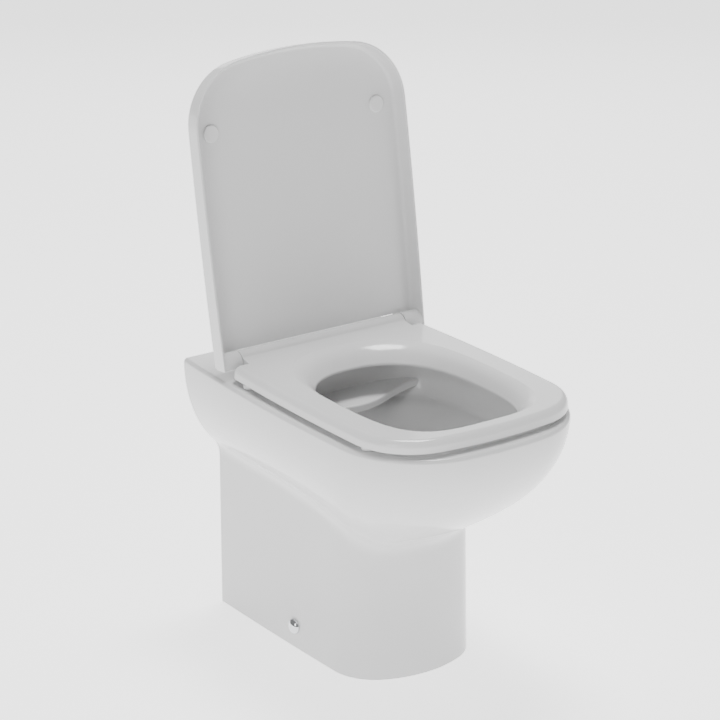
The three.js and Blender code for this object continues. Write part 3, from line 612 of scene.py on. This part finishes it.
# %% The lid, drawn shut and then opened
LID = {"half": 178.4, "middle": -80, "side": 9500, "front": -260.1, "bow": 627, "corner": 92.4}
LIP, LIP_THICK = 403.5, 3.2
LID_DEPTH, LID_TAPER = 32, 3.5
LID_REAR = HINGE_Y + 8.2
LID_FACE = LIP + 24.5
CROWN, REAR_ROUND = 8, 19
KNUCKLE = {"from": 143, "to": 172, "radius": 15.5}
BUSH = {"radius": 5.6, "to": 169}
PLATE_REAR = HINGE_Y - 13.9


def lid_ring(inset, depth):
    ring = []
    for p in mirrored(half_plan(LID, LID_REAR, inset)):
        back = (p.y - LID["front"]) / (LID_REAR - LID["front"])
        ring.append(Vector((p.x, p.y, LIP + depth * (1 + back * LID_TAPER / LID_DEPTH))))
    return ring


def lid_outside():
    rings = [lid_ring(inset, depth) for inset, depth in ((1, 0), (0.3, 0.3), (0, 1), (0.1, 4), (0.2, 8))]
    for i in range(11):
        angle = math.radians(75 * i / 10)
        inset = 1.4 + CROWN * (1 - math.cos(angle))
        rings.append(lid_ring(inset, LID_DEPTH - 1.8 - CROWN * (1 - math.sin(angle))))
    low = LID_DEPTH - 1.8 - CROWN * (1 - math.sin(math.radians(75)))
    for t in (0.1, 0.22, 0.36, 0.52, 0.75, 1):
        rings.append(lid_ring(7.3 + 52 * t, LID_DEPTH - (LID_DEPTH - low) * (1 - t) ** 2))
    return loft("lid_surface", rings)


def lid_rear_trim():
    top, start = LIP + LID_DEPTH + LID_TAPER, LID_REAR - REAR_ROUND
    round_end = arc(Vector((start, top - REAR_ROUND)), REAR_ROUND, math.pi / 2, 0, 24)
    far = LID_REAR + 20
    outline = [Vector(p) for p in ((far, LIP - 5), (far, top + 5), (start, top + 5))]
    return along_x("rear_trim", outline + round_end + [Vector((LID_REAR, LIP - 5))], -200, 200)


def lid_inside():
    levels = [(-1, -2), (-1, 0.01), (-0.3, 0.3), (0, 1), (0.6, 14)]
    for i in range(9):
        angle = math.radians(90 * i / 8)
        levels.append((1 + 6 * (1 - math.cos(angle)), LID_FACE - LIP - 6 + 6 * math.sin(angle)))
    rings = []
    for inset, rise in levels:
        rings.append(at(mirrored(half_plan(LID, LID_REAR + 6, LIP_THICK + inset)), LIP + rise))
    return loft("lid_inside", rings)


room = KNUCKLE["from"]
barrel_room = block("barrel_room", (-room, PLATE_REAR, LIP - 5), (room, LID_REAR + 5, LIP + LID_DEPTH + 9))
blank = combine("DIFFERENCE", lid_outside(), lid_rear_trim())
lid = blank.copy()
lid.data = blank.data.copy()
bpy.context.scene.collection.objects.link(lid)
combine("DIFFERENCE", lid, lid_inside(), barrel_room)
for side in SIDES.values():
    knuckle = on_axis("knuckle", KNUCKLE["radius"], side, KNUCKLE["from"], KNUCKLE["to"])
    whole = blank.copy()
    bpy.context.scene.collection.objects.link(whole)
    combine("UNION", lid, combine("INTERSECT", knuckle, whole))
    bush_bore = on_axis("bush_bore", BUSH["radius"] + FIT, side, KNUCKLE["from"] - 1, BUSH["to"])
    combine("DIFFERENCE", lid, bush_bore)
bpy.data.objects.remove(blank)
lid.name = "lid_surface"
move(lid, "X", -OPEN_ANGLE, about=(0, HINGE_Y, HINGE_Z))
smooth(lid)
print("finished lid:", len(lid.data.polygons), "faces")

# %% [markdown]
# ## Hinges, caps and fixings
# The seat's hardware is mostly hidden: chromed posts in the barrel, pins through them, and nuts under
# the deck. Round pieces are spun from half a section, as they would be turned on a lathe, and a
# shallow bevel takes the sharpness off their edges.

# %% Hinge posts, pins, bushes and dampers
PAD = {"radius": 16, "bottom": RIM_HEIGHT + FIT, "top": RIM_HEIGHT + 1.7}
FLANGE = {"radius": 17, "bottom": PAD["top"] + FIT, "top": RIM_HEIGHT + 4.2}
STUD = {"radius": 4, "bottom": 338, "top": RIM_HEIGHT + 3.4}


def sleeve(name, outer, inner, bottom, top, segments=64):
    ring = turned(name, [(inner, bottom), (outer, bottom), (outer, top), (inner, top)], segments)
    return soften(ring, 0.3)


def hinge_post(side, name):
    x = side * HINGE_SPACING / 2
    flange = rod(name, FLANGE["radius"], (x, HINGE_Y, FLANGE["bottom"]), (x, HINGE_Y, FLANGE["top"]))
    low = x - POST["x"], HINGE_Y - POST["y"], FLANGE["bottom"]
    column = block("column", low, (x + POST["x"], HINGE_Y + POST["y"], HINGE_Z))
    half = POST["half"]
    eye = rod("eye", POST["eye"], (x - half, HINGE_Y, HINGE_Z), (x + half, HINGE_Y, HINGE_Z), 48)
    combine("UNION", flange, column, eye)
    pin = on_axis("pin_room", PIN["radius"] + FIT, side, HINGE_SPACING / 2 - 9, HINGE_SPACING / 2 + 9)
    low, high = FLANGE["bottom"] - 1, STUD["top"] + FIT
    stud = rod("stud_room", STUD["radius"] + FIT, (x, HINGE_Y, low), (x, HINGE_Y, high), 32)
    combine("DIFFERENCE", flange, pin, stud)
    return smooth(soften(flange, 0.4))


def lying(obj, side, x, y, z):
    """Lays a piece made about Z along X, pointing outwards on its own side, and puts it in place."""
    return move(move(obj, "Y", side * math.pi / 2), by=(side * x, y, z))


def opened(obj):
    """Turns a piece of the closed lid back with it, about the hinge axis."""
    return move(obj, "X", -OPEN_ANGLE, about=(0, HINGE_Y, HINGE_Z))


made = []


def finished(obj, body, node, slot):
    """Registers a piece: the body it moves with, the measured piece it stands for, and its finish."""
    obj.name = f"{node}_surface"
    obj.data.name = obj.name
    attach(obj, body)
    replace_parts(obj, node)
    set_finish(obj, slot)
    made.append(obj)
    return obj


finished(pan, "pan", "pan", "glazed_ceramic")
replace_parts(pan, "bowl", "trapway")  # one fired piece, measured as three solids
finished(seat, "seat", "seat", "seat_plastic")
finished(lid, "lid", "lid", "seat_plastic")
for word, side in SIDES.items():
    post = hinge_post(side, "post")
    pin = soften(on_axis("pin", PIN["radius"], side, PIN["from"], PIN["to"]), 0.4)
    inner = PIN["radius"] + FIT
    bush = sleeve("bush", BUSH["radius"], inner, KNUCKLE["from"] + FIT, BUSH["to"] - FIT, 40)
    damper = sleeve("damper", DAMPER["radius"], inner, DAMPER["from"], DAMPER["to"], 48)
    finished(post, "pan", f"hinge_post_{word}", "chrome")
    finished(smooth(pin), "pan", f"hinge_pin_{word}", "steel")
    bush = opened(smooth(lying(bush, side, 0, HINGE_Y, HINGE_Z)))
    finished(bush, "lid", f"lid_hinge_bush_{word}", "grey_plastic")
    damper = smooth(lying(damper, side, 0, HINGE_Y, HINGE_Z))
    finished(damper, "seat", f"soft_close_damper_{word}", "grey_plastic")
print("hinge pieces made:", len(made))

# %% [markdown]
# Soft buffers keep plastic off plastic and plastic off glaze. Two low round buttons inside the lid
# meet the seat, and four feet under the seat meet the rim. Each is one turned profile.

# %% Buffers
LID_BUFFER = {"x": 141.6, "y": HINGE_Y - 325.3, "radius": 12.5, "face": 424.95}


def round_corner(centre, radius, start, end, steps=6):
    return [(p.x, p.y) for p in arc(Vector(centre), radius, math.radians(start), math.radians(end), steps)]


def lid_buffer():
    height, radius = LID_FACE - FIT - LID_BUFFER["face"], LID_BUFFER["radius"]
    edge = round_corner((radius - 1.8, -height + 1.8), 1.8, -90, 0)
    profile = [(0, -height), (radius * 0.5, -height)] + edge + [(radius, 0), (0, 0)]
    return turned("buffer", profile, 72, closed=False)


def seat_buffer():
    foot = SEAT_BOTTOM - RIM_HEIGHT - 2 * FIT
    radius, length = BUFFER_PEG["radius"], BUFFER_PEG["length"]
    edge = round_corner((7.2, 1.8), 1.8, -90, 0)
    profile = [(0, 0)] + edge + [(9, foot), (radius, foot), (radius, foot + length), (0, foot + length)]
    return turned("foot", profile, 48, closed=False)


for word, side in SIDES.items():
    place = side * LID_BUFFER["x"], LID_BUFFER["y"], LID_FACE - FIT
    buffer = opened(move(lid_buffer(), by=place))
    finished(smooth(buffer), "lid", f"lid_buffer_{word}", "buffer_plastic")
    for which, (x, y) in SEAT_BUFFERS.items():
        foot = move(seat_buffer(), by=(side * x, y, RIM_HEIGHT + FIT))
        finished(smooth(foot), "seat", f"seat_buffer_{which}_{word}", "buffer_plastic")
print("pieces so far:", len(made))

# %% [markdown]
# Under the deck a stud hangs from each post, with a cone washer that centres it in its bore and a
# wing nut that a fitter can turn by hand. Low in the pedestal, brackets are screwed to the floor and
# a screw through each side holds the pan to them. A domed chrome cap hides that screw.

# %% Fixings under the deck
CONE_WASHER = {"radius": 15, "rim": 4, "height": 14}
WING_NUT = {"radius": 11, "height": 18, "span": 25, "wing": (4, 16)}


def cone_washer():
    top = RIM_HEIGHT - GLAZED_WALL - FIT
    bottom, inner, radius = top - CONE_WASHER["height"], STUD["radius"] + FIT, CONE_WASHER["radius"]
    cone = [(radius, bottom + CONE_WASHER["rim"]), (DECK_BORE + 2, top)]
    profile = [(inner, bottom), (radius, bottom), *cone, (inner, top)]
    return soften(turned("washer", profile, 56), 0.5)


def wing_nut():
    top = RIM_HEIGHT - GLAZED_WALL - CONE_WASHER["height"] - 2 * FIT
    bottom = top - WING_NUT["height"]
    nut = rod("nut", WING_NUT["radius"], (0, 0, bottom), (0, 0, top), 56)
    reach, (upper, lower) = WING_NUT["span"], WING_NUT["wing"]
    combine("UNION", nut, block("wings", (-reach, -2, top - lower), (reach, 2, top - upper)))
    combine("DIFFERENCE", nut, rod("bore", STUD["radius"] + FIT, (0, 0, bottom - 1), (0, 0, top + 1), 32))
    return soften(nut, 0.6)


for word, side in SIDES.items():
    spot = side * HINGE_SPACING / 2, HINGE_Y, 0
    pad = sleeve("pad", PAD["radius"], DECK_BORE, PAD["bottom"], PAD["top"])
    stud = soften(rod("stud", STUD["radius"], (0, 0, STUD["bottom"]), (0, 0, STUD["top"]), 32), 0.5)
    for obj, node, slot in (
        (pad, "hinge_pad", "black_rubber"),
        (stud, "hinge_stud", "steel"),
        (cone_washer(), "cone_washer", "black_rubber"),
        (wing_nut(), "wing_nut", "white_plastic"),
    ):
        finished(smooth(move(obj, by=spot)), "pan", f"{node}_{word}", slot)
print("pieces so far:", len(made))

# %% Floor brackets, screws and caps
BRACKET = {"thick": 6, "width": 50, "height": 60, "base": 42, "screw": 26}
SCREW = {"radius": 3, "head": 6, "head_height": 3.4, "floor": 10, "side": 31, "inside": 26}
WALL_PLUG = {"length": 11, "inside": 11.5}
CAP = {"radius": 11.5, "proud": 8.2, "wall": 1.4}
bracket_y = FIXING["y"] - BRACKET["width"] / 2
bulge = (bracket_y - PEDESTAL["middle"]) ** 2 / (2 * PEDESTAL["side"])
bracket_face = PEDESTAL["half"] - bulge - GLAZED_WALL - FIT


def floor_bracket(side):
    face, y, half = bracket_face, FIXING["y"], BRACKET["width"] / 2

    def slab(name, inner, height):
        ends = sorted((side * inner, side * face))
        return block(name, (ends[0], y - half, 0), (ends[1], y + half, height))

    bracket = slab("upright", face - BRACKET["thick"], BRACKET["height"])
    combine("UNION", bracket, slab("base", face - BRACKET["base"], BRACKET["thick"]))
    radius, z, foot = SCREW["radius"] + FIT, FIXING["z"], side * (face - BRACKET["screw"])
    across = rod("across", radius, (side * (face - 8), y, z), (side * (face + 1), y, z), 32)
    down = rod("down", radius, (foot, y, -1), (foot, y, BRACKET["thick"] + 1), 32)
    combine("DIFFERENCE", bracket, across, down)
    return smooth(soften(bracket, 0.6))


def screw(length):
    """A pan-head screw along Z with its tip at zero."""
    radius, head, thick = SCREW["radius"], SCREW["head"], SCREW["head_height"]
    dome = round_corner((head - 2.2, length - 2.2), 2.2, 0, 90)
    shank = [(0, 0), (radius * 0.7, radius / 2), (radius, radius), (radius, length - thick)]
    return turned("screw", shank + [(head, length - thick)] + dome + [(0, length)], 40, closed=False)


def side_cap():
    """A push-on dome, hollow, with a thin wall."""
    domes = []
    angles = [math.radians(90 * i / 14) for i in range(14)]
    for thinner in (0, CAP["wall"]):
        reach, height = CAP["radius"] - thinner, CAP["proud"] - thinner
        domes.append([(reach * math.cos(a), height * math.sin(a)) for a in angles] + [(0, height)])
    outer, inner = domes
    return turned("cap", list(reversed(inner)) + outer, 72, closed=False)


for word, side in SIDES.items():
    finished(floor_bracket(side), "pan", f"floor_bracket_{word}", "grey_plastic")
    floor_screw = move(screw(SCREW["floor"]), by=(side * (bracket_face - BRACKET["screw"]), FIXING["y"], 0))
    finished(smooth(floor_screw), "pan", f"floor_screw_{word}", "steel")
    y, z = FIXING["y"], FIXING["z"]
    side_screw = lying(screw(SCREW["side"]), side, side_face - SCREW["inside"], y, z)
    wall_plug = sleeve("plug", FIXING["bore"] - FIT, SCREW["radius"] + FIT, 0, WALL_PLUG["length"], 40)
    wall_plug = lying(wall_plug, side, side_face - WALL_PLUG["inside"], y, z)
    finished(smooth(side_screw), "pan", f"side_screw_{word}", "steel")
    finished(smooth(wall_plug), "pan", f"side_sleeve_{word}", "white_plastic")
    finished(smooth(lying(side_cap(), side, side_face + FIT, y, z)), "pan", f"side_cap_{word}", "chrome")
print("pieces so far:", len(made))

# %% [markdown]
# Two rubber pieces meet the pipes in the wall. A seal with a lip pushes into the flush inlet, and a
# finned sleeve grips the outlet spigot and carries the waste on.

# %% The inlet seal and the waste connector
SEAL = {"bore": 20, "mouth": 24, "length": 28, "lip": INLET["socket"] + 3}
CONNECTOR = {"wall": 6, "fin": 9, "length": 52, "from": TRAP["end"] - 18}


def inlet_seal():
    outer, seated, lip = INLET["socket"] - FIT, INLET["mouth"] - INLET["step"], SEAL["lip"]
    bore, mouth, length = SEAL["bore"], SEAL["mouth"], SEAL["length"]
    outside = [(bore, 0), (outer, 0), (outer, seated), (lip, seated), (lip, length)]
    return soften(turned("seal", [*outside, (mouth, length), (bore + 2, 6)], 72), 0.7, limit=40)


def waste_connector():
    inner = TRAP["outer"] + 2 * FIT
    outer, fin, length = inner + CONNECTOR["wall"], inner + CONNECTOR["fin"], CONNECTOR["length"]
    fins = [point for z in (28, 42) for point in ((outer, z - 4), (fin, z), (outer, z + 4))]
    profile = [(inner, 0), (outer, 0), *fins, (outer, length), (inner, length)]
    return soften(turned("connector", profile, 80), 0.8, limit=40)


for obj, node, start, height in (
    (inlet_seal(), "flush_inlet_seal", INLET["step"] + FIT, INLET["height"]),
    (waste_connector(), "waste_connector", CONNECTOR["from"], OUTLET_HEIGHT),
):
    move(obj, "X", -math.pi / 2)
    finished(smooth(move(obj, by=(0, start, height))), "pan", node, "black_rubber")
stood_for = {node for obj in made for node in obj["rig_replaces"]}
print("all pieces:", len(made), "not replaced:", sorted(set(frame["nodes"]) - stood_for))

# %% [markdown]
# ## Finishes
# A finish is a small program of shader nodes. One class wraps a socket, so that a pattern can be
# written as plain arithmetic, and one method makes any other node. The patterns read Object
# coordinates, which are the piece's own place in metres, so they stay put when the piece moves.

# %% Write node arithmetic as Python
class Socket:
    def __init__(self, tree, socket):
        self.tree, self.socket = tree, socket

    def node(self, kind, settings=None, **inputs):
        made_node = self.tree.nodes.new(kind)
        for name, value in (settings or {}).items():
            setattr(made_node, name, value)
        for name, value in inputs.items():
            key = int(name[1:]) if name[0] == "_" else name.replace("_", " ")
            plug(self.tree, value, made_node.inputs[key])
        return made_node

    def math(self, operation, *values):
        inputs = {f"_{i}": value for i, value in enumerate(values)}
        return Socket(self.tree, self.node("ShaderNodeMath", {"operation": operation}, **inputs).outputs[0])

    def __add__(self, other):
        return self.math("ADD", self, other)

    def __mul__(self, other):
        return self.math("MULTIPLY", self, other)

    __radd__, __rmul__ = __add__, __mul__


def plug(tree, value, target):
    if isinstance(value, Socket):
        tree.links.new(value.socket, target)
    else:
        target.default_value = value


class Finish:
    """A material with one Principled BSDF and the pieces' own coordinates."""

    def __init__(self, name, **constants):
        self.material = bpy.data.materials.new(name)
        self.material.use_nodes = True
        self.tree = self.material.node_tree
        self.shader = self.tree.nodes["Principled BSDF"]
        coordinates = self.tree.nodes.new("ShaderNodeTexCoord")
        self.place = Socket(self.tree, coordinates.outputs["Object"])
        for key, value in constants.items():
            self.shader.inputs[key.replace("_", " ")].default_value = value

    def noise(self, scale, detail=3, stretch=None):
        place = self.place
        if stretch:
            mapping = self.place.node("ShaderNodeMapping", Vector=place, Scale=stretch)
            place = Socket(self.tree, mapping.outputs[0])
        made_noise = self.place.node("ShaderNodeTexNoise", Vector=place, Scale=scale, Detail=detail)
        return Socket(self.tree, made_noise.outputs["Fac"])

    def blend(self, share, first, second):
        mixer = self.place.node("ShaderNodeMix", {"data_type": "RGBA"}, _0=share, _6=first, _7=second)
        return Socket(self.tree, mixer.outputs[2])

    def bump(self, height, strength, distance):
        relief = self.place.node("ShaderNodeBump", Height=height, Strength=strength, Distance=distance)
        return Socket(self.tree, relief.outputs[0])

    def set(self, **inputs):
        for key, value in inputs.items():
            plug(self.tree, value, self.shader.inputs[key.replace("_", " ")])
        return self.material


# %% [markdown]
# Glazed ceramic is white clay under a thin coat of glass. Its shine is even, but a real glaze is
# never quite flat: it pools and pulls very slightly, so its reflections bend by a hair over a few
# centimetres. Two soft noises do that, one for the colour and one for the surface.

# %% Glazed ceramic
def glazed_ceramic():
    finish = Finish("glazed_ceramic", IOR=1.5, Specular_IOR_Level=0.5)
    pooling, grain = finish.noise(7, 2), finish.noise(60, 3)
    colour = finish.blend(pooling, (0.68, 0.68, 0.68, 1), (0.72, 0.72, 0.722, 1))
    roughness = 0.055 + 0.05 * grain
    return finish.set(Base_Color=colour, Roughness=roughness, Normal=finish.bump(pooling, 0.08, 0.0012))


# %% [markdown]
# The seat and lid are pressed from thermoset plastic. It polishes nearly as bright as the glaze, but
# a little softer, with a faint orange peel. The buffers are a matt soft plastic.

# %% Seat plastic, buffers and hidden plastics
def moulded_plastic(name, dark, light, smoothest, spread, peel):
    finish = Finish(name, IOR=1.5)
    cloud, fine = finish.noise(9, 2), finish.noise(420, 2)
    colour = finish.blend(cloud, (*dark, 1), (*light, 1))
    roughness = smoothest + spread * fine
    return finish.set(Base_Color=colour, Roughness=roughness, Normal=finish.bump(fine, peel, 0.0001))


# %% [markdown]
# Chrome plate mirrors the room, and fingers leave its shine slightly uneven. The hidden steel is
# drawn wire, so its grain runs along it. Rubber is nearly black, matt and a little mottled.

# %% Chrome, steel and rubber
def chrome():
    finish = Finish("chrome", Metallic=1.0)
    smears, pits = finish.noise(90, 4), finish.noise(700, 2)
    colour = finish.blend(smears, (0.62, 0.63, 0.65, 1), (0.74, 0.75, 0.77, 1))
    relief = finish.bump(pits, 0.04, 0.0001)
    return finish.set(Base_Color=colour, Roughness=0.08 + 0.12 * smears, Normal=relief)


def steel():
    finish = Finish("steel", Metallic=1.0)
    grain = finish.noise(300, 3, stretch=(0.15, 1, 1))
    colour = finish.blend(grain, (0.42, 0.43, 0.45, 1), (0.6, 0.61, 0.63, 1))
    relief = finish.bump(grain, 0.15, 0.0001)
    return finish.set(Base_Color=colour, Roughness=0.28 + 0.2 * grain, Normal=relief)


def black_rubber():
    finish = Finish("black_rubber", IOR=1.52)
    mottle, grain = finish.noise(35, 4), finish.noise(500, 3)
    colour = finish.blend(mottle, (0.012, 0.012, 0.013, 1), (0.03, 0.03, 0.031, 1))
    relief = finish.bump(grain, 0.25, 0.0002)
    return finish.set(Base_Color=colour, Roughness=0.6 + 0.2 * grain, Normal=relief)


MOULDED = {  # darkest and lightest colour, smoothest roughness, its spread, strength of the grain
    "seat_plastic": ((0.7, 0.7, 0.7), (0.74, 0.74, 0.742), 0.1, 0.08, 0.03),
    "buffer_plastic": ((0.7, 0.7, 0.7), (0.78, 0.78, 0.78), 0.38, 0.15, 0.1),
    "grey_plastic": ((0.14, 0.145, 0.155), (0.19, 0.195, 0.205), 0.4, 0.2, 0.15),
    "white_plastic": ((0.66, 0.66, 0.65), (0.74, 0.74, 0.73), 0.4, 0.15, 0.12),
}
finishes = {name: moulded_plastic(name, *look) for name, look in MOULDED.items()}
for make in (glazed_ceramic, chrome, steel, black_rubber):
    finishes[make.__name__] = make()
for obj in made:
    obj.data.materials.clear()
    obj.data.materials.append(finishes[obj["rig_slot"]])
print("finishes:", sorted(finishes))

# %% [markdown]
# ## The studio
# White ware on a white ground needs light that comes mostly from above and one side, so that its
# round forms still turn from light to shade. The floor is bright and pale, three large soft panels
# give the long highlights, and the sky fills in the rest.

# %% Floor, light and camera
def floor_finish():
    finish = Finish("studio_floor", Roughness=0.9, Specular_IOR_Level=0.0)
    finish.shader.inputs["Emission Color"].default_value = (1, 1, 1, 1)
    finish.shader.inputs["Emission Strength"].default_value = 1.9
    cloud = finish.noise(0.8, 1)
    return finish.set(Base_Color=finish.blend(cloud, (0.88, 0.88, 0.88, 1), (0.9, 0.9, 0.9, 1)))


bm = bmesh.new()
bmesh.ops.create_grid(bm, x_segments=1, y_segments=1, size=40, matrix=Matrix.Translation((0, 0, -0.0005)))
floor = as_object("studio_floor", bm)
floor.data.materials.append(floor_finish())


def softbox(name, position, aim, size, power):
    light = bpy.data.lights.new(name, "AREA")
    light.shape, light.size, light.size_y, light.energy = "RECTANGLE", size[0], size[1], power
    lamp = bpy.data.objects.new(name, light)
    bpy.context.scene.collection.objects.link(lamp)
    lamp.location = position
    lamp.rotation_euler = (Vector(aim) - Vector(position)).to_track_quat("-Z", "Y").to_euler()
    return lamp


softbox("key_left", (-2.9, -1.5, 1.9), (0, 0, 0.4), (1.1, 1.8), 38)
softbox("overhead", (0.5, 0.5, 3.2), (0, 0, 0.4), (1.1, 1.1), 105)
softbox("behind_right", (1.9, 2.7, 1.6), (0, 0, 0.4), (2.4, 1.6), 22)
world = bpy.data.worlds.new("studio_sky")
bpy.context.scene.world = world
world.use_nodes = True
world.node_tree.nodes["Background"].inputs["Color"].default_value = (1, 1, 1, 1)
world.node_tree.nodes["Background"].inputs["Strength"].default_value = 0.3

CAMERA = {"azimuth": -34.98, "elevation": 20.14, "distance": 4.00912, "lens": 143.53}
CAMERA_AIM = Vector((-0.03564, 0.020, 0.44405))
turn, tilt = math.radians(CAMERA["azimuth"]), math.radians(CAMERA["elevation"])
back = Vector((math.sin(turn) * math.cos(tilt), -math.cos(turn) * math.cos(tilt), math.sin(tilt)))
camera = bpy.data.objects.new("camera", bpy.data.cameras.new("camera"))
bpy.context.scene.collection.objects.link(camera)
camera.data.lens, camera.data.sensor_width = CAMERA["lens"], 36
camera.location = CAMERA_AIM + back * CAMERA["distance"]
camera.rotation_euler = (-back).to_track_quat("-Z", "Y").to_euler()
camera.data.clip_end = 200
bpy.context.scene.camera = camera
print("camera at", [round(v, 3) for v in camera.location])
